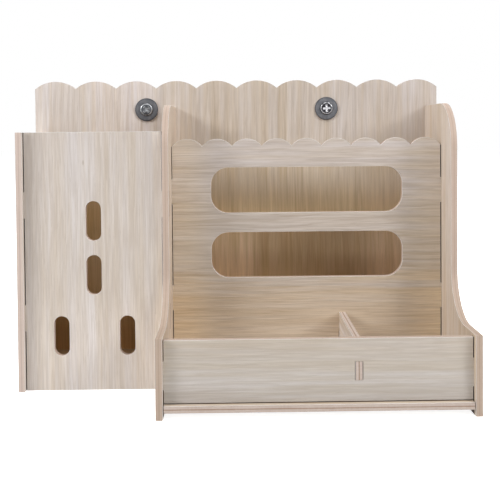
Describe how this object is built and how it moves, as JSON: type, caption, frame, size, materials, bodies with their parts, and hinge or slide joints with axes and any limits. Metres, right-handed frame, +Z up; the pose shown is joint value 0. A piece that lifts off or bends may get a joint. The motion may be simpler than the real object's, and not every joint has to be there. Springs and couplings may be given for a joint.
{
  "type": "wooden rabbit feeder",
  "caption": "Plywood rabbit feeder: slotted hay rack over a divided tray beside a tall bin, on a scalloped back board that clamps to cage wires.",
  "frame": {"origin": "centre of the footprint's bounding box, at the ground", "axes": "+X to the right of someone who looks at the front, from the bin towards the hay rack; +Y from the tray to the back board and the clamps behind it; +Z up"},
  "size_m": [0.351, 0.1788, 0.245],
  "materials": {
    "plywood": "bare sanded birch plywood with laser-cut edges",
    "bolt_steel": "bright zinc plating",
    "washer_steel": "satin zinc plating",
    "nut_steel": "zinc plating over a cast surface"
  },
  "bodies": {
    "feeder": {"back_board": "plywood", "bin_side_panel": "plywood", "middle_side_panel": "plywood", "right_side_panel": "plywood", "bin_front_panel": "plywood", "bin_floor": "plywood", "hay_front_panel": "plywood", "tray_floor": "plywood", "tray_front_wall": "plywood", "tray_divider": "plywood", "left_bolt": "bolt_steel", "right_bolt": "bolt_steel", "left_front_washer": "washer_steel", "right_front_washer": "washer_steel"},
    "left_clamp": {"left_rear_washer": "washer_steel"},
    "left_nut": {"left_wing_nut": "nut_steel"},
    "right_clamp": {"right_rear_washer": "washer_steel"},
    "right_nut": {"right_wing_nut": "nut_steel"}
  },
  "joints": [
    {"name": "left_clamp_slide", "type": "slide", "parent": "feeder", "child": "left_clamp", "axis": [0, 1, 0], "range_m": [-0.00361, 0.00961]},
    {"name": "left_nut_spin", "type": "hinge", "parent": "left_clamp", "child": "left_nut", "pos_m": [-0.0785, 0.0708, 0.22], "axis": [0, 1, 0], "range_deg": [-1620, 4320]},
    {"name": "right_clamp_slide", "type": "slide", "parent": "feeder", "child": "right_clamp", "axis": [0, 1, 0], "range_m": [-0.00361, 0.00961]},
    {"name": "right_nut_spin", "type": "hinge", "parent": "right_clamp", "child": "right_nut", "pos_m": [0.0785, 0.0708, 0.22], "axis": [0, 1, 0], "range_deg": [-1620, 4320]}
  ],
  "couplings": [
    {"joint": "left_clamp_slide", "follows": "left_nut_spin", "m_per_rad": 0.00012732},
    {"joint": "right_clamp_slide", "follows": "right_nut_spin", "m_per_rad": 0.00012732}
  ]
}
